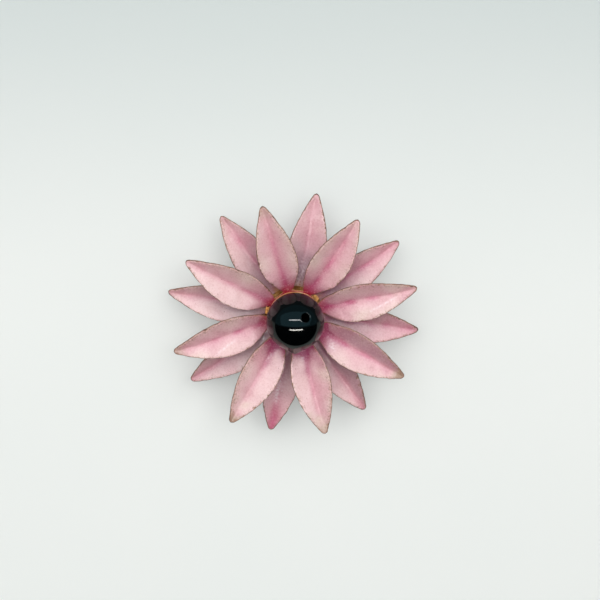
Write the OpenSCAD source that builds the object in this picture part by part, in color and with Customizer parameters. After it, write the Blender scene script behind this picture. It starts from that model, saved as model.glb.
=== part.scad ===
// Flower pin: two layers of enamelled copper petals riveted round a glass bead,
// with a riveted back plate and a bar pin that has a hinged stem and a turning safety catch.
// Millimetres. +Z is the flower's axis, out of its face. The origin is on that axis,
// level with the lowest point of the pin work behind the flower.

/* [Petals] */
// Number of petals stamped in each layer.
petals = 8; // [7:1:8]
// Distance from the flower's axis to the tips of the upper petals.
upper_reach = 29.6; // [27:0.2:31]
// Distance from the flower's axis to the tips of the lower petals.
lower_reach = 30.1; // [27:0.1:32]
// Greatest width of a petal, flat across.
petal_width = 9.2; // [8:0.1:10]
// Distance from the axis at which a petal is widest.
widest_at = 15.5; // [13.5:0.5:18]
// Half of a petal's width where its blunt tip begins to turn.
tip_half = 0.5; // [0.3:0.05:0.8]
// Width of the slot between two petals where they leave the hub.
slot_width = 1.8; // [1.4:0.1:2.2]
// Radius of the uncut hub inside the slots.
hub_radius = 6; // [5.9:0.1:6.4]
// Rise of a petal's edges for each millimetre away from its crease.
fold_slope = 0.52; // [0.3:0.02:0.56]
// Height of the upper tips above their own hub.
upper_lift = 4.4; // [3.5:0.1:5.5]
// Height of the lower tips above their own hub.
lower_lift = 0.1; // [0:0.1:0.5]
// Direction of the first upper petal, turned from +X.
upper_turn = 150.5; // [145:0.5:155]
// Direction of the first lower petal, turned from +X.
lower_turn = 170.5; // [168:0.5:173]

/* [Sheet and enamel] */
// Thickness of the stamped copper.
sheet = 0.45; // [0.4:0.05:0.55]
// Thickness of the enamel on the face.
coat = 0.18; // [0.14:0.02:0.24]
// Thickness of the enamel on the back.
back_coat = 0.14; // [0.1:0.02:0.2]
// Width of the bare copper left round each petal.
bare_rim = 0.15; // [0.15:0.05:0.3]
// Thickness of the washer that holds the two layers apart.
layer_gap = 1.2; // [1.1:0.1:1.6]

/* [Bead] */
// Diameter of the glass bead.
bead_diameter = 13.7; // [13.4:0.1:14]
// Height of the bead's centre above the upper hub.
bead_rise = 5.2; // [5:0.1:5.4]
// Diameter of the bore drilled through the bead.
bore_diameter = 1.9; // [1.4:0.1:2.2]
// Lean of the bore away from the flower's axis.
bore_lean = 33; // [20:1:34]
// Side that the bore leans to, turned from the -Y side.
bore_turn = 146; // [0:1:359]

/* [Pin work] */
// Length of the bar.
bar_length = 31; // [30.6:0.2:34]
// Width of the bar.
bar_width = 5; // [4.6:0.2:5]
// Thickness of the bar.
bar_sheet = 0.8; // [0.7:0.1:1]
// Distance from the flower's axis to the middle of the bar.
bar_offset = 5.5; // [5.5:0.1:6]
// Diameter of the back plate.
plate_diameter = 18; // [17:0.5:20]
// Thickness of the back plate.
plate_sheet = 0.8; // [0.6:0.1:1]
// Diameter of the pin's wire.
wire = 0.8; // [0.7:0.05:0.85]
// Outside diameter of the catch.
catch_diameter = 3.4; // [3.3:0.05:3.5]
// Clear height between the middle of the wire and the bar.
wire_drop = 2.4; // [2.3:0.1:3]

/* [Hidden] */

// Roundness of the turned work, from large to small.
$fn = 48;
fine = 96;
medium = 64;

// Heights, counted up from the lowest point of the catch.
wire_z = catch_diameter / 2;
bar_z = wire_z + wire_drop;
plate_z = bar_z + bar_sheet;
lower_z = plate_z + plate_sheet + back_coat;
washer_z = lower_z + sheet;
upper_z = washer_z + layer_gap;
cup_z = upper_z + sheet;
cup_floor = 0.4;
floor_z = cup_z + cup_floor;
bead_z = cup_z + bead_rise;
seat_z = floor_z + 0.6;
cup_top = cup_z + 1.8;
cement_top = cup_top - 0.3;

// Bead: the pip is the small nose of glass left on its side where it was broken off.
bead_radius = bead_diameter / 2;
bore_radius = bore_diameter / 2;
mouth_flare = 0.45;
mouth_depth = 0.35;
pip_rise = 10;
pip_foot = 3.3;
pip_foot_z = bead_radius - 1;
pip_slope = 0.56;
pip_end = 0.35;
pip_reach = bead_radius + 0.85;

// Cup radii: under the foot, outside and inside the rim, at the seat and at the floor.
cup_foot = 5.35;
cup_rim = 6.25;
cup_mouth = 5.98;
cup_seat = 5.55;
cup_inside = 5.05;

// Rivet, and the washers that it holds.
rivet_radius = 1.2;
rivet_hole = 1.25;
head_radius = 2.1;
head_height = 0.45;
tail_small = 1.5;
tail_large = 1.8;
tail_height = 0.4;
burr_radius = 2.2;
burr_sheet = 0.4;
spacer_radius = 4.5;
flange_radius = 6.9;
flange_sheet = 0.2;

// Pin work along the bar.
hinge_x = 13;
eye_radius = 1.1;
eye_width = 0.9;
pivot_radius = 0.5;
pivot_length = 2.5;
pivot_head = 0.85;
pivot_head_sheet = 0.3;
ear_sheet = 0.45;
ear_gap = 1.2;
bracket_sheet = 0.4;
bar_hole = 0.6;
bar_hole_x = 10.2;
solder_leg = 0.5;
catch_far = -14.7;
catch_near = -11.9;
catch_bore = 1.25;
catch_slot = 1.5;
neck_width = 1.6;
foot_sheet = 0.35;
sleeve_radius = 1.2;
sleeve_bore = 0.6;
sleeve_slot = 0.96;
collar_radius = 1.55;
lever_near = -11.05;
lever_length = 1.6;
lever_sheet = 0.7;
point_start = -10.4;
point_end = -15.3;
point_radius = 0.08;
running_gap = 0.05;

// Hand bending: each petal's own turn, extra reach and extra lift.
upper_yaw = [-0.1, 0.7, -0.6, 0.5, 0.8, -0.5, -0.7, 0];
upper_more = [0, -0.4, -1.1, 0.1, 0.3, 0.4, 0.2, 0];
upper_up = [0, 0.2, -0.3, 0.1, 0, -0.2, 0.2, -0.1];
lower_yaw = [-0.3, 1, 0.2, 0.2, 0.8, -0.2, -0.1, -0.2];
lower_more = [0.2, -0.6, -0.3, 0.1, 0.2, 0.5, 0.6, -0.2];
lower_up = [0.1, 0, 0.2, -0.1, 0, 0.1, -0.1, 0];

// Petal surface: points along and across, and how they crowd at the hub and at the tip.
rows = 15;
columns = 6;
hub_crowd = 1.4;
tip_crowd = 1.5;
half_angle = 180 / petals;
leaf_foot = 11;
leaf_fullness = 0.95;
crease_soft = 0.8;
fold_run = 5;
yaw_run = 4;
bow_base = 0.84;
bow_share = 0.467;
least_half = 0.12;
bond = 0.02;

function clamp01(x) = min(1, max(0, x));
function smooth(x) = clamp01(x) * clamp01(x) * (3 - 2 * clamp01(x));

// Half the room a petal has at distance x from the axis.
function sector(x) = x * tan(half_angle);

// Half of the slot at distance x: round at its inner end, then parallel.
function slot(x) =
    let (r = slot_width / 2, d = x - hub_radius)
    d >= r ? r / cos(half_angle) : sqrt(max(0, r * r - (r - d) * (r - d)));

// Outline of the leaf by itself, and the blunt end that closes it.
function leaf(x, reach) =
    x < widest_at
        ? petal_width / 2 * (1 - pow((widest_at - x) / leaf_foot, 2))
        : tip_half + (petal_width / 2 - tip_half)
            * pow(cos(90 * clamp01((x - widest_at) / (reach - widest_at))), leaf_fullness);

function blunt(x, reach) = sqrt(1 - pow(clamp01((x - reach + tip_half) / tip_half), 2));

function half_width(x, reach) =
    min(sector(x) - slot(x), leaf(x, reach) * blunt(x, reach));

// Share of a petal's length at row t of 0 to 1.
function spread(t) = 1 - pow(1 - pow(t, hub_crowd), tip_crowd);

// Height of a petal's surface above its hub, x along the petal and y across it.
function rise(x, y, reach, lift) =
    let (s = clamp01((x - hub_radius) / (reach - hub_radius)))
    lift * s + s * (1 - s) * (bow_base + bow_share * lift)
        + fold_slope * smooth((x - hub_radius) / fold_run)
            * (sqrt(y * y + pow(crease_soft, 2)) - crease_soft);

// One point of a layer: petal k, row i, column j. Row 0 is the inner edge.
function point(k, i, j, inner, turn, yaw, base_reach, more, lift, up, inset, z0) =
    let (reach = base_reach + more[k % len(more)],
         v = 2 * j / columns - 1,
         t = spread(max(0, i - 1) / rows),
         x = hub_radius + (reach - hub_radius - inset) * t,
         edge = half_width(hub_radius + (reach - hub_radius) * t, reach) - inset,
         w = max(least_half, edge),
         flat = turn - k * 2 * half_angle,
         a = flat + yaw[k % len(yaw)] * smooth((x - hub_radius) / yaw_run))
    i == 0 ? [inner * cos(flat + v * half_angle), inner * sin(flat + v * half_angle), z0]
    : i == 1 ? let (r = hub_radius - inset)
        [r * cos(flat + v * half_angle), r * sin(flat + v * half_angle), z0]
    : [x * cos(a) - v * w * sin(a), x * sin(a) + v * w * cos(a),
        z0 + rise(x, v * w, reach, lift + up[k % len(up)])];

// Place of a point in the list. Rows 0 and 1 share their sides with the next petal.
function shared(k, i, j) = (i * petals + k) * columns + j;
function place(k, i, j) =
    i < 2
        ? (j < columns ? shared(k, i, j) : shared((k + petals - 1) % petals, i, 0))
        : 2 * petals * columns + (k * rows + i - 2) * (columns + 1) + j;

// A whole layer as one closed skin between the heights low and high.
module layer_skin(inner, turn, yaw, reach, more, lift, up, inset, low, high) {
    last = rows + 1;
    face_points = [
        for (i = [0:1]) for (k = [0:petals - 1]) for (j = [0:columns - 1])
            point(k, i, j, inner, turn, yaw, reach, more, lift, up, inset, 0),
        for (k = [0:petals - 1]) for (i = [2:last]) for (j = [0:columns])
            point(k, i, j, inner, turn, yaw, reach, more, lift, up, inset, 0)];
    n = len(face_points);
    top = [for (p = face_points) p + [0, 0, high]];
    bottom = [for (p = face_points) p + [0, 0, low]];
    cells = [for (k = [0:petals - 1]) for (i = [0:last - 1]) for (j = [0:columns - 1])
        [place(k, i, j), place(k, i, j + 1), place(k, i + 1, j + 1), place(k, i + 1, j)]];
    // Walls: inner edge, both sides of each petal, and its tip.
    walls = [
        for (k = [0:petals - 1]) for (j = [0:columns - 1])
            [place(k, 0, j), place(k, 0, j + 1)],
        for (k = [0:petals - 1]) for (i = [1:last - 1])
            [place(k, i + 1, 0), place(k, i, 0)],
        for (k = [0:petals - 1]) for (i = [1:last - 1])
            [place(k, i, columns), place(k, i + 1, columns)],
        for (k = [0:petals - 1]) for (j = [0:columns - 1])
            [place(k, last, j + 1), place(k, last, j)]];
    faces = [
        for (c = cells) each [[c[0], c[1], c[2]], [c[0], c[2], c[3]]],
        for (c = cells) each [[c[0] + n, c[2] + n, c[1] + n], [c[0] + n, c[3] + n, c[2] + n]],
        for (e = walls) each [[e[0], e[0] + n, e[1] + n], [e[0], e[1] + n, e[1]]]];
    polyhedron(points = concat(top, bottom), faces = faces, convexity = 8);
}

module upper_layer(inner, inset, low, high) {
    translate([0, 0, upper_z])
        layer_skin(inner, upper_turn, upper_yaw, upper_reach, upper_more,
            upper_lift, upper_up, inset, low, high);
}

module lower_layer(inner, inset, low, high) {
    translate([0, 0, lower_z])
        layer_skin(inner, lower_turn, lower_yaw, lower_reach, lower_more,
            lower_lift, lower_up, inset, low, high);
}

module upper_sheet() {
    color("peru") upper_layer(rivet_hole, 0, 0, sheet);
}

module upper_enamel() {
    color("pink") upper_layer(hub_radius - 0.4, bare_rim, sheet - bond, sheet + coat);
}

module upper_back_enamel() {
    color("thistle") upper_layer(hub_radius - 0.8, bare_rim, -back_coat, bond);
}

module lower_sheet() {
    color("peru") lower_layer(rivet_hole, 0, 0, sheet);
}

module lower_enamel() {
    color("palevioletred") lower_layer(hub_radius - 0.8, bare_rim, sheet - bond, sheet + coat);
}

module lower_back_enamel() {
    color("thistle") lower_layer(rivet_hole, bare_rim, -back_coat, bond);
}

// A nose that stands out of the ball's side: a cone with a small flatter end.
module pip() {
    shoulder_z = pip_foot_z + pip_slope * (pip_foot - pip_end);
    rotate([0, 90 - pip_rise, -90]) rotate_extrude($fn = medium) polygon([
        [0, bead_radius / 2],
        [pip_foot, bead_radius / 2],
        [pip_foot, pip_foot_z],
        [pip_end, shoulder_z],
        [0, pip_reach]]);
}

// Glass bead: a ball with a flat seat, drilled right through at a lean, and a nose.
module centre_bead() {
    color("black") {
        difference() {
            translate([0, 0, bead_z]) sphere(r = bead_radius, $fn = fine);
            translate([-10, -10, seat_z - 10]) cube([20, 20, 10]);
            translate([0, 0, bead_z]) rotate([bore_lean, 0, bore_turn]) {
                cylinder(r = bore_radius, h = 24, center = true);
                translate([0, 0, bead_radius - mouth_depth])
                    cylinder(r1 = bore_radius, r2 = bore_radius + mouth_flare, h = mouth_flare);
            }
        }
        translate([0, 0, bead_z]) pip();
    }
}

// Radius of the ball at height z.
function ball(z) = sqrt(pow(bead_radius, 2) - pow(bead_z - z, 2));

// Radius inside the cup's rim at height z.
function cup_wall(z) = cup_seat + (cup_mouth - cup_seat) * (z - seat_z) / (cup_top - seat_z);

// Cement under the bead and up inside the cup's wall, open round the rivet's head.
module bead_cement() {
    hollow = head_radius + 0.2;
    color("dimgray") rotate_extrude($fn = fine) polygon([
        [hollow, floor_z],
        [cup_inside, floor_z],
        [cup_seat, seat_z],
        [cup_wall(cement_top), cement_top],
        [ball(cement_top) + bond / 2, cement_top],
        [ball(seat_z) + bond / 2, seat_z],
        [hollow, seat_z]]);
}

module bead_cup() {
    color("goldenrod") rotate_extrude($fn = fine) polygon([
        [rivet_hole, cup_z],
        [cup_foot, cup_z],
        [cup_rim, cup_top],
        [cup_mouth, cup_top],
        [cup_seat, seat_z],
        [cup_inside, floor_z],
        [rivet_hole, floor_z]]);
}

// Rivet through the whole stack, headed in the cup and clinched over its washer behind.
module centre_rivet() {
    shank_z = plate_z - burr_sheet - 0.2;
    color("goldenrod") {
        translate([0, 0, floor_z]) cylinder(r = head_radius, h = head_height, $fn = medium);
        translate([0, 0, shank_z])
            cylinder(r = rivet_radius, h = floor_z + 0.2 - shank_z, $fn = medium);
        translate([0, 0, plate_z - burr_sheet - tail_height])
            cylinder(r1 = tail_small, r2 = tail_large, h = tail_height, $fn = medium);
    }
}

module ring(outer, inner, height) {
    difference() {
        cylinder(r = outer, h = height, $fn = fine);
        translate([0, 0, -1]) cylinder(r = inner, h = height + 2, $fn = fine);
    }
}

module rivet_washer() {
    color("darkgoldenrod") translate([0, 0, plate_z - burr_sheet])
        ring(burr_radius, rivet_hole, burr_sheet);
}

// Spacer between the layers, with a thin flange that shows through the upper slots.
module layer_washer() {
    flange_z = upper_z - back_coat - 0.11 - flange_sheet;
    color("darkgoldenrod") rotate_extrude($fn = fine) polygon([
        [rivet_hole, washer_z],
        [spacer_radius, washer_z],
        [spacer_radius, flange_z],
        [flange_radius, flange_z],
        [flange_radius, flange_z + flange_sheet],
        [spacer_radius, flange_z + flange_sheet],
        [spacer_radius, upper_z],
        [rivet_hole, upper_z]]);
}

module back_plate() {
    color("goldenrod") translate([0, 0, plate_z]) ring(plate_diameter / 2, rivet_hole, plate_sheet);
}

// A three-sided bead of solder along X in the corner between plate and bar.
module fillet(length, side) {
    translate([-length / 2, bar_offset + side * bar_width / 2, plate_z])
        rotate([90, 0, 90])
            linear_extrude(height = length)
                polygon([[0, 0], [side * solder_leg, 0], [0, -solder_leg]]);
}

module plate_solder() {
    color("silver") {
        fillet(13, -1);
        fillet(5, 1);
    }
}

module pin_bar() {
    end_x = (bar_length - bar_width) / 2;
    color("gold") translate([0, bar_offset, bar_z]) difference() {
        union() {
            translate([-end_x, -bar_width / 2, 0]) cube([2 * end_x, bar_width, bar_sheet]);
            for (x = [-end_x, end_x])
                translate([x, 0, 0]) cylinder(r = bar_width / 2, h = bar_sheet, $fn = medium);
        }
        for (x = [-bar_hole_x, bar_hole_x])
            translate([x, 0, -1]) cylinder(r = bar_hole, h = bar_sheet + 2);
    }
}

module at_wire(x) {
    translate([x, bar_offset, wire_z]) children();
}

// Cylinder along Y, centred.
module cross_pin(r, width) {
    rotate([90, 0, 0]) cylinder(r = r, h = width, center = true);
}

// Cylinder along X, starting at the origin.
module long_pin(r, length) {
    rotate([0, 90, 0]) cylinder(r = r, h = length);
}

// A box along X that stands out evenly on both sides of the wire, from height low to height high.
module beside_wire(from_x, length, width, low, high) {
    translate([from_x, -width / 2, low]) cube([length, width, high - low]);
}

module hinge_bracket() {
    ear_y = (ear_gap + ear_sheet) / 2;
    color("gold") at_wire(hinge_x) difference() {
        union() {
            beside_wire(-eye_radius, 2 * eye_radius, ear_gap + 2 * ear_sheet,
                wire_drop - bracket_sheet, wire_drop);
            for (y = [-ear_y, ear_y])
                translate([0, y, 0]) {
                    cross_pin(eye_radius, ear_sheet);
                    beside_wire(-eye_radius, 2 * eye_radius, ear_sheet,
                        0, wire_drop - bracket_sheet / 2);
                }
        }
        cross_pin(pivot_radius, 6);
    }
}

module hinge_rivet() {
    head_y = (pivot_length - pivot_head_sheet / 3) / 2;
    color("goldenrod") at_wire(hinge_x) {
        cross_pin(pivot_radius, pivot_length);
        for (y = [-head_y, head_y])
            translate([0, y, 0]) cross_pin(pivot_head, pivot_head_sheet);
    }
}

module pin_stem() {
    length = hinge_x - 0.8 - point_start;
    color("lightsteelblue") {
        at_wire(hinge_x) difference() {
            cross_pin(eye_radius, eye_width);
            cross_pin(pivot_radius + running_gap, 6);
        }
        at_wire(point_start) long_pin(wire / 2, length);
        at_wire(point_end) rotate([0, 90, 0])
            cylinder(r1 = point_radius, r2 = wire / 2, h = point_start - point_end);
    }
}

// Open-sided tube on a short neck; the wire enters it from below.
module catch_body() {
    length = catch_near - catch_far;
    neck_low = catch_diameter / 2 - 0.2;
    color("gold") {
        at_wire(catch_far) difference() {
            union() {
                long_pin(catch_diameter / 2, length);
                beside_wire(0, length, neck_width, neck_low, wire_drop);
                beside_wire(-0.3, length + 0.6, 3, wire_drop - foot_sheet, wire_drop);
            }
            translate([-1, 0, 0]) long_pin(catch_bore, length + 2);
            beside_wire(-1, length + 2, catch_slot, -4, 0);
        }
    }
}

// Slotted sleeve that turns in the catch, with a collar and a thumb lever outside it.
module catch_sleeve() {
    length = lever_near - catch_far;
    collar = lever_near - catch_near - running_gap;
    lever_y = collar_radius - 0.25;
    color("goldenrod") at_wire(catch_far) difference() {
        union() {
            long_pin(sleeve_radius, length);
            translate([length - collar, 0, 0]) {
                long_pin(collar_radius, collar);
                translate([0, lever_y, -lever_sheet / 2])
                    cube([collar, lever_length, lever_sheet]);
            }
        }
        translate([-1, 0, 0]) long_pin(sleeve_bore, length + 2);
        beside_wire(-1, length + 2, sleeve_slot, -4, 0);
    }
}

centre_bead();
bead_cement();
bead_cup();
centre_rivet();
rivet_washer();
upper_sheet();
upper_enamel();
upper_back_enamel();
layer_washer();
lower_sheet();
lower_enamel();
lower_back_enamel();
back_plate();
plate_solder();
pin_bar();
hinge_bracket();
hinge_rivet();
pin_stem();
catch_body();
catch_sleeve();
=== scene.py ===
"""Looks of the enamelled flower pin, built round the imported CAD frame."""

import math

import bpy
import bmesh
import numpy as np
from mathutils import Matrix, Vector


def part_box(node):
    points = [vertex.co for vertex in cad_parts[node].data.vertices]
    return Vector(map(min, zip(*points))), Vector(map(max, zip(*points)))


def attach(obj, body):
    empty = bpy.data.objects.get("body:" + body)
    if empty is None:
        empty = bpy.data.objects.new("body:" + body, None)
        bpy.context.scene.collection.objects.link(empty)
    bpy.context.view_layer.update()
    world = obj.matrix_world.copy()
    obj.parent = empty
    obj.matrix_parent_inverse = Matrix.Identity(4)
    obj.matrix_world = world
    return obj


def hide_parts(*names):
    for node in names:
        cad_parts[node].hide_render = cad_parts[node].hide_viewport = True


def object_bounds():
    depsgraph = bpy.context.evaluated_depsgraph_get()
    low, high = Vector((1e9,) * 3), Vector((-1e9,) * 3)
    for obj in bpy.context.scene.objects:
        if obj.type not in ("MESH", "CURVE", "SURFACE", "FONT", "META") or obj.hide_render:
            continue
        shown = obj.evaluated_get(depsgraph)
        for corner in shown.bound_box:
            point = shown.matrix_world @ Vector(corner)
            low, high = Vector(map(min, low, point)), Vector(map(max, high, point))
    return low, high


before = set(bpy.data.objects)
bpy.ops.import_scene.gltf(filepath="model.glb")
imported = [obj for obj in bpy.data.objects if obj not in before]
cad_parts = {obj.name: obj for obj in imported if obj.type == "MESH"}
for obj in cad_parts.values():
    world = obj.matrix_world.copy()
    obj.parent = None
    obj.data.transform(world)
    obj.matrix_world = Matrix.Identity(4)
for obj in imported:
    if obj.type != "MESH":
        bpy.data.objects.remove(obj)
cad_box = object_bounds()

MM = 0.001

# ---- places (mm), read from the frame where it has them


def low(node):
    return np.array(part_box(node)[0]) / MM


def high(node):
    return np.array(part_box(node)[1]) / MM


def middle(node):
    return (low(node) + high(node)) / 2


SHEET = 0.45
CUP_Z = low("bead_cup")[2]
CUP_TOP = high("bead_cup")[2]
SEAT_Z = low("centre_bead")[2]
BEAD_RADIUS = (high("centre_bead")[0] - low("centre_bead")[0]) / 2
BEAD_Z = high("centre_bead")[2] - BEAD_RADIUS
BORE_LEAN = math.radians(33)
BORE_TURN = math.radians(56)
BORE_RADIUS = 0.95
BORE_BEVEL = 0.32
BORE_DEPTHS = (9.5, 6, 3, 1.2, 0.5, 0.15)
PIP_RISE = math.radians(10)
PIP_END = -low("centre_bead")[1] / math.cos(PIP_RISE)

# ---- petals: the CAD's own shape rules

PETALS = 8
HALF_ANGLE = math.pi / PETALS
HUB_RADIUS = 6.0
SLOT_WIDTH = 1.35
PETAL_WIDTH = 9.2
WIDEST_AT = 15.5
FOLD_SLOPE = 0.52
TIP_HALF = 0.5
LEAF_FOOT = 11
LEAF_FULLNESS = 0.95
RIVET_HOLE = 1.25
BOW_BASE = 0.84
BOW_SHARE = 0.467
EDGE_WAVE = 0.03
CREASE_WANDER = 0.08
DENT = 0.05
RIPPLE = 0.012
COAT = 0.18
BACK_COAT = 0.14
SUNK = 0.03

# A list has one value for each petal, in order, and a single number stands for the whole layer.
# yaw is degrees off the even spacing; more and up are extra reach and lift (mm). From paleness on,
# the values are amounts of colour, and in pale, dusk and worn the sign picks a side of the crease.
# pale is painted light on that side; dusk is aged colour with painted shade on it; lilac is painted
# shade by the hub; worn is edge wear.
# The last entry holds petal, distance, offset, slant, half length, half width and strength of
# painted highlights: pale glint streaks, and wide pale patches that paint light over shaded petals.
UPPER = {
    "z": low("upper_sheet")[2], "turn": 150.5, "reach": 29.6, "lift": 4.4, "seed": 11,
    "yaw": [-0.1, 0.7, -0.6, 0.5, 0.8, -0.5, -0.7, 0],
    "more": [0, -0.4, -1.1, 0.1, 0.3, 0.4, 0.2, 0],
    "up": [0, 0.2, -0.3, 0.1, 0, -0.2, 0.2, -0.1],
    "paleness": 0.5,
    "rose": [0.1, 0.3, 0.25, 0.1, 0.1, 0.2, 0.1, 0.1],
    "streak": [0.5, 0.55, 0.8, 0.8, 0.7, 0.5, 0.4, 0.7],
    "border": [0.55, 0.5, 0.5, 0.55, 0.3, 0.3, 0.3, 0.4],
    "tip_rose": [0, 0, 0.15, 0, 0, 0, 0, 0],
    "pale": [0.85, 0.3, 0, 0, 0, -0.8, 0.7, 0],
    "dusk": [0, 0, 0, 0.15, 0.7, 0, 0, 0],
    "cream": [0.3, 0.35, 0.4, 0.6, 1.0, 1.1, 1.0, 0.8],
    "tan": [0, 0.75, 0.1, 0.1, 1.1, 0.6, 1.2, 0.6],
    "lilac_shade": 0,
    "flush": [0.9, 0.82, 0.95, 0.9, 1.6, 2.2, 1.7, 0.75],
    "amber": 0,
    "crimson": [0.9, 0.9, 0.9, 0.4, 0.4, 0.5, 0.7, 0.9],
    "worn": [-0.35, -0.4, -0.3, 0.55, 0.8, 0.55, -0.9, -0.6],
    "painted_highlights": [
        (3, 20.9, -1.85, 0.25, 3.4, 0.22, 0.6), (7, 17.3, 2.2, 0.33, 2.6, 0.25, 0.7),
        (4, 11.5, -2.0, 0, 1.0, 0.7, 0.6), (6, 12, 0, -0.1, 1.3, 0.22, 0.6),
        (5, 10.8, -0.7, 0, 0.6, 0.3, 0.5)],
}
LOWER = {
    "z": low("lower_sheet")[2], "turn": 170.5, "reach": 30.1, "lift": 0.1, "seed": 47,
    "yaw": [-0.3, 1, 0.2, 0.2, 0.8, -0.2, -0.1, -0.2],
    "more": [0.2, -0.6, -0.3, 0.1, 0.2, 0.5, 0.6, -0.2],
    "up": [0.1, 0, 0.2, -0.1, 0, 0.1, -0.1, 0],
    "paleness": 0.74,
    "rose": [0.22, 0.35, 0.35, 0.35, 0.7, 0.1, 0.3, 0.25],
    "streak": [0.6, 0.7, 0.35, 0.85, 0.9, 0.7, 0.8, 0.8],
    "border": [0.35, 0.3, 0.1, 0.2, 0.1, 0.1, 0.05, 0.25],
    "tip_rose": [0.3, 0.2, 0.1, 0.3, 0.35, 0.4, 0.95, 0.35],
    "pale": [0.7, 0.6, 0, 0, -0.3, -0.5, -0.3, 0.5],
    "dusk": [-0.2, -0.15, 0, 0, 0, 0.6, 0, 0],
    "cream": [0.3, 0.25, 0, 0.05, 0.05, 0.1, 0, 0.05],
    "tan": [0.15, 0.25, 0.1, 0.1, 0.1, 0.1, 0, 0.15],
    "lilac_shade": [0.35, 0.35, 0.65, 0.4, 0.3, 0.35, 0.3, 0.35],
    "flush": 0.35,
    "amber": [0.6, 0.9, 0.75, 0.6, 0, 0, 0, 0],
    "crimson": 0,
    "worn": [-0.2, 0.45, 0, 0.3, -0.3, 0.3, 0, 0.5],
    "painted_highlights": [
        (6, 20.5, -0.3, 0, 2.6, 0.4, 0.8), (7, 10, 1.3, 0.5, 0.9, 0.25, 1.0),
        (6, 18, -0.4, 0, 5, 2.2, 0.3), (2, 10, 0, 0, 4, 2, 0.4)],
}


class Waves:
    """A smooth random field: a sum of plane waves with seeded directions and phases."""

    def __init__(self, seed, shortest, longest, count=14):
        rng = np.random.default_rng(seed)
        size = 2 * math.pi / rng.uniform(shortest, longest, count)
        way = rng.uniform(0, 2 * math.pi, count)
        self.kx = size * np.cos(way)
        self.ky = size * np.sin(way)
        self.phase = rng.uniform(0, 2 * math.pi, count)

    def __call__(self, x, y=0.0):
        x = np.asarray(x, float)
        y = np.asarray(y, float) + np.zeros_like(x)
        total = np.zeros_like(x)
        for kx, ky, phase in zip(self.kx, self.ky, self.phase):
            total += np.sin(kx * x + ky * y + phase)
        return total * math.sqrt(2 / len(self.kx))


def smooth(x):
    x = np.clip(x, 0, 1)
    return x * x * (3 - 2 * x)


def slot(x):
    """Half of the slot between two petals at distance x, round at its inner end."""
    r = SLOT_WIDTH / 2
    d = x - HUB_RADIUS
    round_end = np.sqrt(np.clip(r * r - (r - d) ** 2, 0, None))
    return np.where(d >= r, r / math.cos(HALF_ANGLE), round_end)


def leaf(x, reach):
    """Half width of a leaf with a blunt round tip."""
    inner = PETAL_WIDTH / 2 * (1 - ((WIDEST_AT - x) / LEAF_FOOT) ** 2)
    share = np.clip((x - WIDEST_AT) / (reach - WIDEST_AT), 0, 1)
    narrowing = np.clip(np.cos(math.pi / 2 * share), 0, 1) ** LEAF_FULLNESS
    outer = TIP_HALF + (PETAL_WIDTH / 2 - TIP_HALF) * narrowing
    into_tip = np.clip((x - reach + TIP_HALF) / TIP_HALF, 0, 1)
    return np.where(x < WIDEST_AT, inner, outer) * np.sqrt(1 - into_tip ** 2)


def half_width(x, reach):
    return np.maximum(np.minimum(x * math.tan(HALF_ANGLE) - slot(x), leaf(x, reach)), 0.01)


class Petal:
    """One petal of a layer: its outline, its folded surface and its place on the hub."""

    def __init__(self, layer, k):
        self.layer = layer
        self.k = k
        self.reach = layer["reach"] + self.amount("more")
        self.lift = layer["lift"] + self.amount("up")
        self.flat = math.radians(layer["turn"] - k * 360 / PETALS)
        self.yaw = math.radians(self.amount("yaw"))
        seed = layer["seed"] * 100 + k * 7
        self.dents = Waves(seed, 5, 12)
        self.ripple = Waves(seed + 1, 1.6, 5)
        self.crease = Waves(seed + 2, 8, 20)
        self.edge = [Waves(seed + 3, 0.9, 4), Waves(seed + 4, 0.9, 4)]

    def amount(self, name):
        """This petal's value from the layer's table."""
        value = self.layer[name]
        return value[self.k] if isinstance(value, list) else value

    def share(self, x):
        return np.clip((x - HUB_RADIUS) / (self.reach - HUB_RADIUS), 0, 1)

    def outline(self, x, side):
        """Half width on one side (-1 or 1), a little uneven as a filed edge is."""
        wave = self.edge[int(side > 0)](x)
        away = smooth((x - HUB_RADIUS - 1) / 3) * smooth((self.reach - x) / 2)
        return half_width(x, self.reach) + EDGE_WAVE * wave * away

    def height(self, x, y):
        """Height of the sheet's back above the hub's back."""
        s = self.share(x)
        away = smooth((x - HUB_RADIUS) / 5)
        y = y - CREASE_WANDER * self.crease(x) * away
        soft = 0.5 - 0.25 * smooth((s - 0.45) / 0.5)
        fold = FOLD_SLOPE * away * (np.sqrt(y * y + soft ** 2) - soft - 0.12)
        bow = s * (1 - s) * (BOW_BASE + BOW_SHARE * self.lift)
        hand = away * (DENT * self.dents(x, y) + RIPPLE * self.ripple(x, y) * np.abs(y) / 4)
        return self.lift * s + bow + fold + hand

    def place(self, x, y, above):
        """Points in the shared frame (mm) for distances x, offsets y and heights above the back."""
        a = self.flat + self.yaw * smooth((x - HUB_RADIUS) / 4)
        z = self.layer["z"] + self.height(x, y) + above
        return np.stack([x * np.cos(a) - y * np.sin(a), x * np.sin(a) + y * np.cos(a), z], -1)

    def hub_place(self, r, v, above):
        a = self.flat + v * HALF_ANGLE
        return np.stack([r * np.cos(a), r * np.sin(a), self.layer["z"] + above], -1)


ROUND_STEPS = 5
ROUND_TURNS = np.linspace(0, math.pi, ROUND_STEPS + 2)[1:-1]
HUB_ROWS = 3
FAR_FROM_EDGE = 9.0
EDGE_ROUND = 0.2
CROWD_TO_FOOT = 1.35
CROWD_TO_TIP = 1.6
ENAMEL_HOLE = 5.5


def around(columns):
    """Height of each point of a ring between the skin's two faces: 1 on top, -1 underneath."""
    flat = np.ones(columns + 1)
    return np.concatenate([flat, np.cos(ROUND_TURNS), -flat, -np.cos(ROUND_TURNS)])


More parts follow.
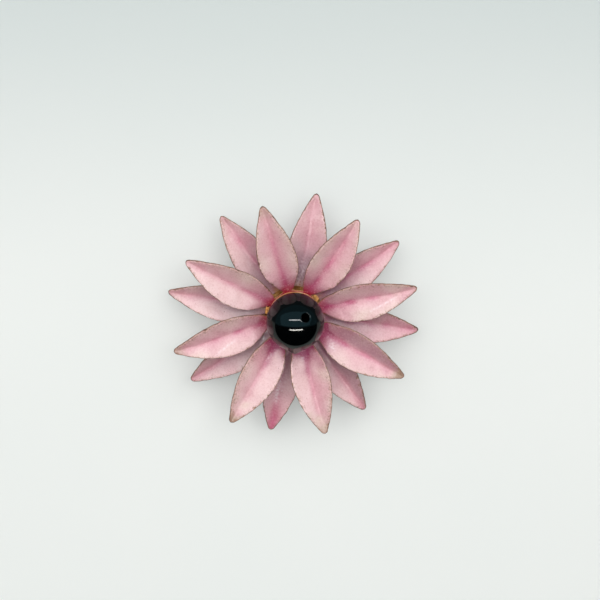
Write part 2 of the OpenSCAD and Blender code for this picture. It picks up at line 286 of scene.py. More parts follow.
def hub_ring(petal, r, columns, below, above):
    """A ring at radius r on the hub, where the skins of neighbouring petals meet."""
    v = np.linspace(-1, 1, columns + 1)
    side = np.concatenate([v, np.ones(ROUND_STEPS), v[::-1], -np.ones(ROUND_STEPS)])
    spot = petal, np.array([r]), np.array([0.0]), np.array([FAR_FROM_EDGE])
    top, bottom = above(*spot)[0], below(*spot)[0]
    lift = (top + bottom) / 2 + (top - bottom) / 2 * around(columns)
    facts = np.stack([np.full_like(side, r), side * r * HALF_ANGLE,
                      np.full_like(side, FAR_FROM_EDGE)], -1)
    return petal.hub_place(r, side, lift), facts


def petal_ring(petal, x, widths, columns, below, above):
    """A ring round the skin at distance x, with rounded edges. widths are its two half widths."""
    v = np.linspace(-1, 1, columns + 1)
    edge = [min(EDGE_ROUND, 0.8 * w) for w in widths]
    left, right = widths[0] - edge[0], widths[1] - edge[1]
    across = np.where(v < 0, v * left, v * right)
    y = np.concatenate([across, right + edge[1] * np.sin(ROUND_TURNS),
                        across[::-1], -left - edge[0] * np.sin(ROUND_TURNS)])
    xs = np.full_like(y, x)
    distance = np.where(y < 0, widths[0] + y, widths[1] - y)
    top, bottom = above(petal, xs, y, distance), below(petal, xs, y, distance)
    lift = (top + bottom) / 2 + (top - bottom) / 2 * around(columns)
    return petal.place(xs, y, lift), np.stack([xs, y, distance], -1)


def shell_rings(petal, inner, inset, rows, columns, below, above):
    """Rings of points round one petal's section, from the hub's hole to the tip.

    inset(x, side) is how far the skin's edge stands in from the outline. below and above give
    the skin's lower and upper heights from (petal, x, y, distance to the edge). Each ring comes
    with its facts: x, y and distance to the edge of every point.
    """
    near_tip = np.array([petal.reach - 1.0])
    tip_inset = float(np.mean([inset(near_tip, side)[0] for side in (-1, 1)]))
    start = HUB_RADIUS - tip_inset
    rings = [hub_ring(petal, r, columns, below, above) for r in (inner, 0.5 * (inner + start), start)]
    length = petal.reach - tip_inset - HUB_RADIUS
    step = (np.arange(1, rows + 1) / rows) ** CROWD_TO_FOOT
    # Rows close up again towards the tip so that its end is round.
    step = 1 - (1 - step) ** CROWD_TO_TIP
    for x in HUB_RADIUS + length * step:
        whole = np.array([HUB_RADIUS + (x - HUB_RADIUS) * (petal.reach - HUB_RADIUS) / length])
        at_x = np.array([x])
        widths = [max(0.012, petal.outline(whole, side)[0] - inset(at_x, side)[0]) for side in (-1, 1)]
        rings.append(petal_ring(petal, x, widths, columns, below, above))
    return rings


def strip_faces(rings_count, size, first, left_out=()):
    """Faces between rings of one size whose points are numbered from first on."""
    faces = []
    for i in range(rings_count - 1):
        for j in range(size):
            if (i, j) not in left_out:
                a = first + i * size + j
                b = first + i * size + (j + 1) % size
                faces.append((a, b, b + size, a + size))
    return faces


def shell_faces(rings_count, columns, first):
    """Faces between rings. Inside the hub the side walls are left out, as petals join there."""
    half = columns + 1 + ROUND_STEPS
    size = 2 * half
    sides = [*range(columns, half), *range(half + columns, size)]
    left_out = {(i, j) for i in range(HUB_ROWS - 1) for j in sides}
    faces = strip_faces(rings_count, size, first, left_out)
    # The hole's wall joins the top and bottom of the first ring.
    for j in range(columns):
        top = first + j
        bottom = first + half + columns - j
        faces.append((top, bottom, bottom - 1, top + 1))
    last = first + (rings_count - 1) * size
    faces.append(tuple(range(last, last + size)))
    return faces


def add_object(name, data):
    obj = bpy.data.objects.new(name, data)
    bpy.context.scene.collection.objects.link(obj)
    return obj


def new_object(name, points, faces):
    mesh = bpy.data.meshes.new(name)
    mesh.from_pydata([tuple(p) for p in np.asarray(points) * MM], [], faces)
    return add_object(name, mesh)


def finish_mesh(obj, sharp=40, weld=1e-6):
    """Welds shared points, drops loose ones, turns faces outwards and shades round parts smooth."""
    bm = bmesh.new()
    bm.from_mesh(obj.data)
    bmesh.ops.remove_doubles(bm, verts=bm.verts, dist=weld)
    loose = [v for v in bm.verts if not v.link_faces]
    bmesh.ops.delete(bm, geom=loose, context="VERTS")
    bmesh.ops.recalc_face_normals(bm, faces=bm.faces)
    bm.to_mesh(obj.data)
    bm.free()
    shade(obj, sharp)
    return obj


def shade(obj, sharp):
    """Smooth shading, except at edges that turn by more than sharp degrees."""
    obj.data.shade_smooth()
    bm = bmesh.new()
    bm.from_mesh(obj.data)
    limit = math.radians(sharp)
    for e in bm.edges:
        e.smooth = not (len(e.link_faces) == 2 and e.calc_face_angle(0) > limit)
    bm.to_mesh(obj.data)
    bm.free()


def set_points(obj, name, kind, field, values):
    layer = obj.data.attributes.new(name, kind, "POINT")
    layer.data.foreach_set(field, np.asarray(values, np.float32).ravel())


def build_layer(name, layer, inner, insets, rows, columns, below, above, paint):
    """One skin over all eight petals. paint(petal, facts) gives a tint and a wear per point."""
    points, faces, tints, wears = [], [], [], []
    for k in range(PETALS):
        petal = Petal(layer, k)
        rings = shell_rings(petal, inner, insets(petal), rows, columns, below, above)
        faces += shell_faces(len(rings), columns, sum(len(p) for p in points))
        points.append(np.concatenate([ring for ring, _ in rings]))
        tint, wear = paint(petal, np.concatenate([facts for _, facts in rings]))
        tints.append(np.column_stack([tint, np.ones_like(wear)]))
        wears.append(wear)
    obj = new_object(name, np.concatenate(points), faces)
    set_points(obj, "tint", "FLOAT_COLOR", "color", np.concatenate(tints))
    set_points(obj, "wear", "FLOAT", "value", np.concatenate(wears))
    return finish_mesh(obj, 50)


# ---- the sheets and their enamel


def bare_sheet(petal):
    return lambda x, side: np.zeros_like(x)


def chipped(petal, base=0.11, chips=12, deepest=0.24):
    """Edge of the enamel: a narrow bare rim with small bites out of it."""
    rng = np.random.default_rng(petal.layer["seed"] * 31 + petal.k)
    bites = []
    for side in (-1, 1):
        at = rng.uniform(HUB_RADIUS + 1, petal.reach - 0.5, chips)
        wide = rng.uniform(0.12, 0.4, chips)
        deep = rng.uniform(0.05, 1, chips) ** 3 * deepest
        bites.append((at, wide, deep))
    waves = [Waves(petal.layer["seed"] * 57 + petal.k * 3 + n, 0.5, 2.5) for n in (0, 1)]

    def inset(x, side):
        n = int(side > 0)
        total = base + EDGE_WAVE * waves[n](x)
        for at, wide, deep in zip(*bites[n]):
            total = total + deep * np.exp(-np.abs((x - at) / wide) ** 3)
        return np.clip(total, 0.05, 1.0)
    return inset


FIELDS = {
    "pool": Waves(901, 2, 6),
    "peel": Waves(902, 0.5, 1.3, 22),
    "mottle": Waves(903, 2.5, 7, 18),
    "blotch": Waves(904, 6, 14, 12),
}


def meniscus(d):
    """Share of the coat's thickness at a distance from its edge."""
    return 0.35 + 0.65 * smooth(d / 0.45)


def coat_top(petal, x, y, d):
    pool = 0.025 * FIELDS["pool"](x, y) + 0.007 * FIELDS["peel"](x, y + petal.k)
    return SHEET + COAT * meniscus(d) + pool


def back_under(petal, x, y, d):
    return -BACK_COAT * meniscus(d) - 0.01 * FIELDS["pool"](x, y)


def level(height):
    """A flat face of a skin, at one height above the sheet's back."""
    return lambda petal, x, y, d: np.full_like(x, height)


def srgb(r, g, b):
    c = np.array([r, g, b], float) / 255
    return np.where(c <= 0.04045, c / 12.92, ((c + 0.055) / 1.055) ** 2.4)


PINK = srgb(223, 172, 179)
PALE = srgb(240, 206, 206)
CREAM = srgb(232, 210, 196)
TAN = srgb(176, 146, 126)
ROSE = srgb(202, 104, 134)
AMBER = srgb(196, 138, 78)
STREAK = srgb(208, 114, 144)
MAGENTA = srgb(164, 46, 96)
CRIMSON = srgb(148, 18, 36)
LILAC = srgb(164, 148, 166)
MAUVE = srgb(178, 128, 142)
# GLINT is the colour of painted highlights.
GLINT = srgb(252, 236, 240)


def blend(a, b, t):
    t = np.clip(t, 0, 1)[:, None]
    return a * (1 - t) + b * t


def one_side(amount, y):
    """The size of amount on the side of the crease that its sign points to, and 0 on the other."""
    return abs(amount) * smooth(y * math.copysign(1, amount) / 1.5)


class Spots:
    """Where the points of one petal's enamel lie, and the slow fields that mottle them."""

    def __init__(self, petal, facts):
        k, seed = petal.k, petal.layer["seed"]
        self.petal = petal
        self.x, self.y, self.edge = facts.T
        self.share = petal.share(self.x)
        self.out = np.clip(self.x - HUB_RADIUS, 0, None)
        self.off_crease = np.abs(self.y - CREASE_WANDER * petal.crease(self.x))
        self.mottle = FIELDS["mottle"](self.x + 31 * k, self.y + seed)
        self.blotch = FIELDS["blotch"](self.x + 17 * k, self.y - seed)


def body_tint(p):
    """Pale and rosy pink, with a streak along the crease and a creamy border."""
    amount = p.petal.amount
    tint = np.tile(PINK, (len(p.x), 1))
    tint = blend(tint, PALE, amount("paleness") + 0.2 * p.mottle + 0.2 * p.blotch)
    tint = blend(tint, STREAK, amount("rose") * (0.5 + 0.2 * p.mottle))
    fade = 1 - 0.55 * smooth((p.share - 0.45) / 0.5)
    glow = np.exp(-(p.off_crease / 1.5) ** 1.5) * 0.5
    line = np.exp(-(p.off_crease / 0.6) ** 2) * (0.4 + 0.25 * p.mottle)
    tint = blend(tint, STREAK, amount("streak") * fade * (glow + line) * smooth((p.x - HUB_RADIUS) / 2))
    border = smooth((np.abs(p.y) - 1.0) / 2.4) * smooth((p.share - 0.1) / 0.3)
    return blend(tint, CREAM, amount("border") * border * (0.7 + 0.3 * p.blotch))


def tip_tint(tint, p):
    """Rose towards the tip, one side painted paler as painted light and one darker as aged colour with
    painted shade, then cream wear and a tan end.
    """
    amount = p.petal.amount
    along = 0.25 + 0.75 * np.exp(-(p.y / 1.3) ** 2)
    tint = blend(tint, ROSE, amount("tip_rose") * smooth((p.share - 0.55) / 0.35) * along)
    # Painted light and shade: pale lightens one side of the crease, dusk darkens one side with aged
    # mauve and painted shade.
    tint = blend(tint, PALE * 1.03, one_side(amount("pale"), p.y))
    tint = blend(tint, MAUVE, one_side(amount("dusk"), p.y) * smooth((p.share - 0.1) / 0.15))
    end = smooth((p.share - 0.74 + 0.05 * p.mottle) / 0.22)
    tint = blend(tint, CREAM, amount("cream") * end * (0.75 + 0.2 * p.blotch))
    return blend(tint, TAN, amount("tan") * smooth((p.share - 0.85) / 0.1) * (0.85 + 0.15 * p.mottle))


def foot_tint(tint, p):
    """Lilac painted shade, magenta, amber and crimson, each nearer to the hub than the one before."""
    amount = p.petal.amount
    # Painted shade: greyish lilac on the lower petals by the hub, where the upper layer overhangs them.
    tint = blend(tint, LILAC, amount("lilac_shade") * np.exp(-(p.out / 9.5) ** 2.4))
    flare = 3.4 + 0.5 * p.mottle + 2.6 * np.exp(-(p.off_crease / 0.8) ** 2)
    base = np.exp(-(p.out / flare) ** 1.5)
    tint = blend(tint, MAGENTA, np.clip(base * amount("flush"), 0, 0.95))
    slot_end = np.exp(-(np.clip(p.x - 6.6, 0, None) / 1.3) ** 2) * np.exp(-(p.y / 0.9) ** 4)
    tint = blend(tint, AMBER, amount("amber") * slot_end * (0.85 + 0.15 * p.mottle))
    red = np.exp(-(p.out / (1.3 + 0.3 * p.mottle)) ** 2)
    return blend(tint, CRIMSON, red * amount("crimson"))


def add_painted_highlights(tint, p):
    # Painted highlights: pale glint streaks and patches blended into the colour, broken up by the peel
    # waves.
    for number, far, aside, slant, long, wide, strength in p.petal.layer["painted_highlights"]:
        if number == p.petal.k:
            across = (p.y - aside - slant * (p.x - far)) / wide
            highlight_shape = np.exp(-((p.x - far) / long) ** 4 - across ** 2)
            tint = blend(tint, GLINT, strength * highlight_shape * (0.7 + 0.4 * FIELDS["peel"](p.x, p.y)))
    return tint


def enamel_paint(petal, facts):
    """Tint and edge wear of the face enamel, from how far along and across the petal a point is."""
    p = Spots(petal, facts)
    tint = add_painted_highlights(foot_tint(tip_tint(body_tint(p), p), p), p)
    worn = petal.amount("worn")
    worn = (0.3 * abs(worn) + 0.7 * one_side(worn, p.y)) * smooth(p.share / 0.25)
    return tint, np.exp(-p.edge / (0.35 + 1.1 * worn))


def back_paint(petal, facts):
    x, y, d = facts.T
    mottle = FIELDS["mottle"](x + 5 * petal.k, y)
    tint = blend(np.tile(LILAC * 0.6, (len(x), 1)), MAUVE, 0.5 + 0.35 * mottle)
    return tint, np.exp(-d / 0.3)


def copper_paint(petal, facts):
    """Bright amber metal in the slots by the hub, fading to brown along the petals, flecked peach as a
    painted highlight.
    """
    x = facts[:, 0]
    # Here the wear value is nearness to the hub: bare amber copper with a painted highlight on the lit
    # slot ends.
    near = np.exp(-np.clip(x - HUB_RADIUS + 0.4, 0, None) / 1.3)
    return np.full((len(x), 3), 0.5), near


def keep_in(obj, node, body="flower"):
    """Rides a piece on its body and hides the CAD node that it replaces."""
    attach(obj, body)
    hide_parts(node)
    return obj


def wide_inset(petal):
    """Edge of the counter-enamel, which stops further in."""
    return chipped(petal, base=0.22, chips=8)


def make_petals():
    """The three skins of each layer, by the CAD nodes they replace."""
    pieces = {}
    for word, layer in (("upper", UPPER), ("lower", LOWER)):
        back_hole = RIVET_HOLE if word == "lower" else ENAMEL_HOLE
        skins = [
            ("copper", "sheet", RIVET_HOLE, bare_sheet, 84, 18,
             level(0.0), level(SHEET), copper_paint),
            ("face_enamel", "enamel", ENAMEL_HOLE, chipped, 130, 34,
             level(SHEET - SUNK), coat_top, enamel_paint),
            ("rear_enamel", "back_enamel", back_hole, wide_inset, 70, 16,
             back_under, level(SUNK), back_paint)]
        for name, node, *skin in skins:
            obj = build_layer(f"{word}_{name}", layer, *skin)
            pieces[f"{word}_{node}"] = keep_in(obj, f"{word}_{node}")
    return pieces


# ---- round parts

CUP_LIP = 0.03
CUP_INSIDE = CUP_Z + 0.4
CUP_FOOT_RADIUS = 5.35
CUP_WELL_RADIUS = 5.05
CUP_SEAT_RADIUS = 5.55
CUP_MOUTH_RADIUS = 5.98
CEMENT_HOLE = 2.3
SPACER_RADIUS = 4.5
FLANGE = 0.2
FLANGE_GAP = 0.11
SHANK_RADIUS = 1.2


def lathe(name, profile, steps=128, closed=True):
    """Turns a profile of (radius, z) points about +Z. A point at radius 0 becomes a pole."""
    points, faces, rings = [], [], []
    for radius, z in profile:
        if radius < 1e-6:
            rings.append([len(points)] * steps)
            points.append((0, 0, z))
            continue
        rings.append([len(points) + i for i in range(steps)])
        for i in range(steps):
            a = 2 * math.pi * i / steps
            points.append((radius * math.cos(a), radius * math.sin(a), z))
    pairs = list(zip(rings, rings[1:])) + ([(rings[-1], rings[0])] if closed else [])
    for lower, upper in pairs:
        for i in range(steps):
            j = (i + 1) % steps
            corners = list(dict.fromkeys([lower[i], lower[j], upper[j], upper[i]]))
            if len(corners) > 2:
                faces.append(corners)
    return finish_mesh(new_object(name, points, faces))


def rounded(corners, radius, steps=4):
    """A closed profile with each corner replaced by a short arc."""
    out = []
    n = len(corners)
    for i, corner in enumerate(corners):
        here = np.array(corner, float)
        before = corners[i - 1] - here
        after = corners[(i + 1) % n] - here
        cut = min(radius, 0.45 * np.linalg.norm(before), 0.45 * np.linalg.norm(after))
        a = here + before / np.linalg.norm(before) * cut
        b = here + after / np.linalg.norm(after) * cut
        for t in np.linspace(0, 1, steps + 1):
            out.append(tuple((1 - t) ** 2 * a + 2 * t * (1 - t) * here + t * t * b))
    return out


def bead_profile():
    """From the bore's far end over its bevelled mouth and round the ball."""
    start = math.asin((BORE_RADIUS + BORE_BEVEL) / BEAD_RADIUS)
    mouth = math.cos(start) * BEAD_RADIUS
    drop = BORE_BEVEL * 1.1
    profile = [(BORE_RADIUS, mouth - drop - depth) for depth in BORE_DEPTHS]
    for a in np.linspace(0, 1, 7) * math.pi / 2:
        profile.append((BORE_RADIUS + BORE_BEVEL * (1 - math.cos(a)), mouth - drop * (1 - math.sin(a))))
    for t in np.linspace(0, 1, 80)[1:]:
        a = start + t * (math.pi - 1.02 * start - start)
        profile.append((BEAD_RADIUS * math.sin(a), BEAD_RADIUS * math.cos(a)))
    return profile


def make_bead():
    """The ball is turned about its own bore, leaned over, and then cut flat for its seat."""
    obj = lathe("glass_bead", bead_profile(), 192)
    lean = Matrix.Rotation(BORE_TURN, 4, "Z") @ Matrix.Rotation(BORE_LEAN, 4, "Y")
    obj.data.transform(Matrix.Translation((0, 0, BEAD_Z * MM)) @ lean)
    bm = bmesh.new()
    bm.from_mesh(obj.data)
    cut = bmesh.ops.bisect_plane(
        bm, geom=bm.verts[:] + bm.edges[:] + bm.faces[:], dist=1e-7,
        plane_co=(0, 0, SEAT_Z * MM), plane_no=(0, 0, -1), clear_outer=True)
    rim = [e for e in cut["geom_cut"] if isinstance(e, bmesh.types.BMEdge) and e.is_boundary]
    bmesh.ops.holes_fill(bm, edges=rim, sides=0)
    bm.to_mesh(obj.data)
    bm.free()
    uneven_glass(obj)
    shade(obj, 35)
    return obj


def uneven_glass(obj):
    """Draws out the pip on the bead's side, and leaves the rest a few microns out of round."""
    swell = Waves(77, 8, 16)
    tiny = Waves(78, 1.5, 4)
    centre = Vector((0, 0, BEAD_Z * MM))
    pip = Vector((0, -math.cos(PIP_RISE), math.sin(PIP_RISE)))
    meet = math.acos(BEAD_RADIUS / (PIP_END + 0.12))
    for v in obj.data.vertices:
        out = v.co - centre
        size = out.length
        if size < (BEAD_RADIUS - 0.4) * MM or v.co.z < (SEAT_Z + 0.4) * MM:
            continue
        x, y, z = out / MM
        move = 0.008 * float(swell(x + z, y - z)) + 0.0015 * float(tiny(x - z, y + z))
        angle = out.angle(pip)
        if angle < meet:
            drawn = min(BEAD_RADIUS / math.cos(meet - angle), PIP_END - 2.2 * angle ** 2)
            move += max(0.0, drawn - BEAD_RADIUS)
        v.co += out / size * move * MM


def make_cup():
    rim = high("bead_cup")[0]
    profile = rounded([
        (RIVET_HOLE, CUP_Z), (CUP_FOOT_RADIUS, CUP_Z), (rim, CUP_TOP - 0.3),
        (rim + CUP_LIP, CUP_TOP - 0.2), (rim + CUP_LIP, CUP_TOP), (CUP_MOUTH_RADIUS, CUP_TOP),
        (CUP_SEAT_RADIUS, SEAT_Z), (CUP_WELL_RADIUS, CUP_INSIDE), (RIVET_HOLE, CUP_INSIDE)], 0.12)
    return lathe("brass_cup", profile, 160)


def make_cement():
    def ball(z):
        return math.sqrt(BEAD_RADIUS ** 2 - (BEAD_Z - z) ** 2) + 0.01
    wall, _, top = high("bead_cement")
    profile = [(CEMENT_HOLE, CUP_INSIDE), (CUP_WELL_RADIUS, CUP_INSIDE), (CUP_SEAT_RADIUS, SEAT_Z),
               (wall, top), (ball(top), top + 0.02), (ball(SEAT_Z), SEAT_Z), (CEMENT_HOLE, SEAT_Z)]
    obj = lathe("cement_bed", rounded(profile, 0.03, 3), 160)
    lumps = Waves(55, 0.8, 3)
    for v in obj.data.vertices:
        if v.co.z > (SEAT_Z + 0.3) * MM:
            v.co.z += 0.03 * MM * float(lumps(v.co.x / MM, v.co.y / MM))
    return obj


def make_spacer():
    """Washer between the layers, with a thin flange that shows through the upper slots."""
    bottom = low("layer_washer")[2]
    flange, _, top = high("layer_washer")
    upper = top - BACK_COAT - FLANGE_GAP
    profile = rounded([
        (RIVET_HOLE, bottom), (SPACER_RADIUS, bottom), (SPACER_RADIUS, upper - FLANGE),
        (flange, upper - FLANGE), (flange, upper), (SPACER_RADIUS, upper), (SPACER_RADIUS, top),
        (RIVET_HOLE, top)], 0.07)
    obj = lathe("spacer_washer", profile, 192)
    dents = Waves(83, 2, 5)
    for v in obj.data.vertices:
        x, y = v.co.x / MM, v.co.y / MM
        v.co.z += 0.03 * MM * float(dents(x, y)) * smooth(math.hypot(x, y) - SPACER_RADIUS)
    return obj


def make_disc(name, node, steps, *rounding):
    """A flat washer round the rivet, as wide and as high as its node."""
    bottom = low(node)[2]
    edge, _, top = high(node)
    profile = [(RIVET_HOLE, bottom), (edge, bottom), (edge, top), (RIVET_HOLE, top)]
    return lathe(name, rounded(profile, *rounding), steps)


def make_rivet():
    """A shank with a clinched tail below and a low head inside the cup."""
    tail, head = low("centre_rivet")[2], high("centre_rivet")[2]
    washer = low("rivet_washer")[2]
    profile = [
        (0, tail + 0.06), (0.7, tail), (1.35, tail + 0.03), (1.7, tail + 0.16), (1.8, tail + 0.3),
        (1.75, washer), (SHANK_RADIUS, washer), (SHANK_RADIUS, CUP_INSIDE), (2.05, CUP_INSIDE),
        (2.1, CUP_INSIDE + 0.12), (1.9, CUP_INSIDE + 0.32), (SHANK_RADIUS, head), (0, head)]
    return lathe("stack_rivet", profile, 96, closed=False)


# ---- pin work behind the flower

BAR_Y = middle("pin_bar")[1]
BAR_LOW = low("pin_bar")[2]
BAR_TOP = high("pin_bar")[2]
BAR_WIDTH = high("pin_bar")[1] - low("pin_bar")[1]
BAR_END = high("pin_bar")[0] - BAR_WIDTH / 2
BAR_HOLE_X = 10.2
BAR_HOLE_RADIUS = 0.6
HINGE_X, _, WIRE_Z = middle("hinge_rivet")
WIRE_RADIUS = 0.4
DROP = BAR_LOW - WIRE_Z
EAR_RADIUS = 1.1
EAR_THICKNESS = 0.45
EAR_HOLE = 0.5
EAR_Y = 0.825
BRACKET_FOOT = 0.4
POINT_X = low("pin_stem")[0]
TAPER_X = -10.4
CATCH_FAR = low("catch_sleeve")[0]
CATCH_LENGTH = 2.8
CATCH_NEAR = CATCH_FAR + CATCH_LENGTH
CATCH_FOOT = 0.35
HOOD_BORE = 1.25
HOOD_GAP = 0.75
NECK_HALF = 0.8
SLEEVE_RADIUS = 1.2
SLEEVE_BORE = 0.6
SLEEVE_GAP = 0.48
COLLAR_RADIUS = 1.55
LEVER_NEAR = high("catch_sleeve")[0]
LEVER_HALF = 0.35
LEVER_REACH = 2.55
ALONG_X = Matrix(((0, 0, 1, 0), (1, 0, 0, 0), (0, 1, 0, 0), (0, 0, 0, 1)))
ALONG_Y = Matrix(((1, 0, 0, 0), (0, 0, -1, 0), (0, 1, 0, 0), (0, 0, 0, 1)))


def arc(radius, start, end, steps=32, centre=(0, 0)):
    """Points on an arc between two angles in degrees."""
    angles = [math.radians(start + (end - start) * i / steps) for i in range(steps + 1)]
    return [(centre[0] + radius * math.cos(a), centre[1] + radius * math.sin(a)) for a in angles]


def hole(radius, x=0):
    """A round hole's outline, run the other way round from a plate's edge."""
    return arc(radius, 0, 360, 32, (x, 0))[:-1][::-1]


def oblong(half_x, half_y):
    return [(-half_x, -half_y), (half_x, -half_y), (half_x, half_y), (-half_x, half_y)]


def plate_mesh(outlines, thickness, bevel, matrix):
    """A flat plate with rounded edges: the first outline is its edge, the others are holes."""
    curve = bpy.data.curves.new("outline", "CURVE")
    curve.dimensions = "2D"
    curve.fill_mode = "BOTH"
    for outline in outlines:
        spline = curve.splines.new("POLY")
        spline.points.add(len(outline) - 1)
        for p, (x, y) in zip(spline.points, outline):
            p.co = (x * MM, y * MM, 0, 1)
        spline.use_cyclic_u = True
    curve.bevel_depth = bevel * MM
    curve.bevel_resolution = 3
    curve.offset = -bevel * MM
    curve.extrude = (thickness / 2 - bevel) * MM
    holder = add_object("outline", curve)
    bpy.context.view_layer.update()
    graph = bpy.context.evaluated_depsgraph_get()
    mesh = bpy.data.meshes.new_from_object(holder.evaluated_get(graph))
    bpy.data.objects.remove(holder)
    bpy.data.curves.remove(curve)
    mesh.transform(matrix)
    return mesh


def at(x, y, z, turn=Matrix.Identity(4)):
    return Matrix.Translation((x * MM, y * MM, z * MM)) @ turn


def on_wire(x, y=BAR_Y, turn=ALONG_X):
    """A place at the height of the stem's wire and the hinge rivet."""
    return at(x, y, WIRE_Z, turn)


def joined(name, *meshes):
    bm = bmesh.new()
    for mesh in meshes:
        bm.from_mesh(mesh)
        bpy.data.meshes.remove(mesh)
    mesh = bpy.data.meshes.new(name)
    bm.to_mesh(mesh)
    bm.free()
    return finish_mesh(add_object(name, mesh), 35, 2e-7)


def turned_mesh(profile, matrix, steps=64, closed=False):
    obj = lathe("turned", profile, steps, closed=closed)
    mesh = obj.data
    mesh.transform(matrix)
    bpy.data.objects.remove(obj)
    return mesh


def make_bar():
    end = BAR_WIDTH / 2
    edge = arc(end, -90, 90, 40, (BAR_END, 0)) + arc(end, 90, 270, 40, (-BAR_END, 0))
    holes = [hole(BAR_HOLE_RADIUS, x) for x in (-BAR_HOLE_X, BAR_HOLE_X)]
    place = at(0, *middle("pin_bar")[1:])
    return joined("finding_bar", plate_mesh([edge] + holes, BAR_TOP - BAR_LOW, 0.16, place))


def make_bracket():
    """Two ears that hold the hinge rivet, on a foot under the bar."""
    r = EAR_RADIUS
    ear = [[(r, DROP - 0.1), (-r, DROP - 0.1)] + arc(r, 180, 360, 40), hole(EAR_HOLE)]
    ears = [plate_mesh(ear, EAR_THICKNESS, 0.08, on_wire(HINGE_X, BAR_Y + side * EAR_Y, ALONG_Y))
            for side in (-1, 1)]
    foot = plate_mesh([oblong(r, 1.05)], BRACKET_FOOT, 0.08,
                      at(HINGE_X, BAR_Y, BAR_LOW - BRACKET_FOOT / 2))
    return joined("hinge_ears", *ears, foot)


def make_hinge_rivet():
    half = [(0, 1.35), (0.35, 1.34), (0.62, 1.27), (0.8, 1.16), (0.85, 1.05), (0.5, 1.05)]
    profile = half + [(r, -z) for r, z in half[::-1]]
    return joined("hinge_pin", turned_mesh(profile, on_wire(HINGE_X, turn=ALONG_Y)))


def make_stem():
    """A coiled eye round the hinge rivet and a wire drawn out to a point."""
    hole_r, out_r, half = 0.55, 1.1, 0.45
    eye = rounded([(hole_r, -half), (out_r, -half), (out_r, half), (hole_r, half)], 0.22, 5)
    eye_mesh = turned_mesh(eye, on_wire(HINGE_X, turn=ALONG_Y), 72, True)
    wire = [(0, POINT_X), (0.05, POINT_X + 0.06), (0.1, POINT_X + 0.3)]
    start = POINT_X + 0.2
    for t in np.linspace(0.1, 1, 12):
        thick = WIRE_RADIUS * (1 - (1 - t) ** 1.6) ** 0.9 * 0.98 + 0.008
        wire.append((thick, start + t * (TAPER_X - start)))
    wire += [(WIRE_RADIUS, x) for x in (TAPER_X + 0.1, 0, HINGE_X - 0.95)] + [(0, HINGE_X - 0.8)]
    return joined("wire_stem", eye_mesh, turned_mesh(wire, on_wire(0), 48))


def c_outline(outer, inner, gap, top=None):
    """A C open at the bottom. top is (angle, angle, points) of a neck or lever put in its edge."""
    a_out = math.degrees(math.asin(gap / outer))
    a_in = math.degrees(math.asin(gap / inner))
    leave, back, extra = top or (90, 90, [])
    points = arc(outer, -90 + a_out, leave, 24) + extra
    points += arc(outer, back, 270 - a_out, 40)[0 if top else 1:]
    return points + arc(inner, 270 - a_in, -90 + a_in, 48)


def make_catch():
    """A hood round the sleeve, hung by its neck from a foot under the bar."""
    outer = high("catch_body")[1] - BAR_Y
    side = math.degrees(math.acos(NECK_HALF / outer))
    neck = (side, 180 - side, [(NECK_HALF, DROP - 0.1), (-NECK_HALF, DROP - 0.1)])
    x = (CATCH_FAR + CATCH_NEAR) / 2
    tube = plate_mesh([c_outline(outer, HOOD_BORE, HOOD_GAP, neck)], CATCH_LENGTH, 0.1, on_wire(x))
    base = plate_mesh([oblong(CATCH_LENGTH / 2 + 0.3, 1.5)], CATCH_FOOT, 0.1,
                      at(x, BAR_Y, BAR_LOW - CATCH_FOOT / 2))
    return joined("catch_hood", tube, base)


def make_sleeve():
    """A slotted tube with a collar and a thumb lever at its near end."""
    length = LEVER_NEAR - CATCH_FAR
    collar = LEVER_NEAR - CATCH_NEAR - 0.05
    tube = plate_mesh([c_outline(SLEEVE_RADIUS, SLEEVE_BORE, SLEEVE_GAP)], length - 0.02, 0.05,
                      on_wire(CATCH_FAR + length / 2))
    root = math.degrees(math.asin(LEVER_HALF / COLLAR_RADIUS))
    lever = (-root, root, arc(LEVER_HALF, -90, 90, 16, (LEVER_REACH, 0)))
    ring = plate_mesh([c_outline(COLLAR_RADIUS, SLEEVE_BORE, SLEEVE_GAP, lever)], collar, 0.08,
                      on_wire(LEVER_NEAR - collar / 2))
    return joined("catch_lock", tube, ring)


def solder_ring(x, side, leg):
    """One hollow-faced section of a solder bead, in the corner between bar and plate."""
    edge = BAR_Y + side * BAR_WIDTH / 2
    ring = [(edge, BAR_TOP), (edge + side * leg, BAR_TOP)]
    for a in np.linspace(0, math.pi / 2, 7)[1:-1]:
        ring.append((edge + side * leg * (1 - math.sin(a)) * 0.98,
                     BAR_TOP - leg * (1 - math.cos(a)) * 0.98))
    ring.append((edge, BAR_TOP - leg))
    return [(x, y, z) for y, z in ring]


def make_solder():
    """Two run-in beads of solder, thinning out at their ends."""
    ripple = Waves(61, 1.2, 4)
    points, faces = [], []
    for half_length, side in ((6.5, -1), (2.5, 1)):
        first = len(points)
        rings = []
        for t in np.linspace(-1, 1, 60):
            leg = 0.5 * (1 - abs(t) ** 6) ** 0.5 * (0.9 + 0.1 * float(ripple(t * half_length)))
            rings.append(solder_ring(t * half_length, side, max(leg, 0.02)))
        size = len(rings[0])
        points += [point for ring in rings for point in ring]
        faces += strip_faces(len(rings), size, first)
        faces += [tuple(range(a, a + size)) for a in (first, len(points) - size)]
    return finish_mesh(new_object("solder_beads", points, faces), 50)


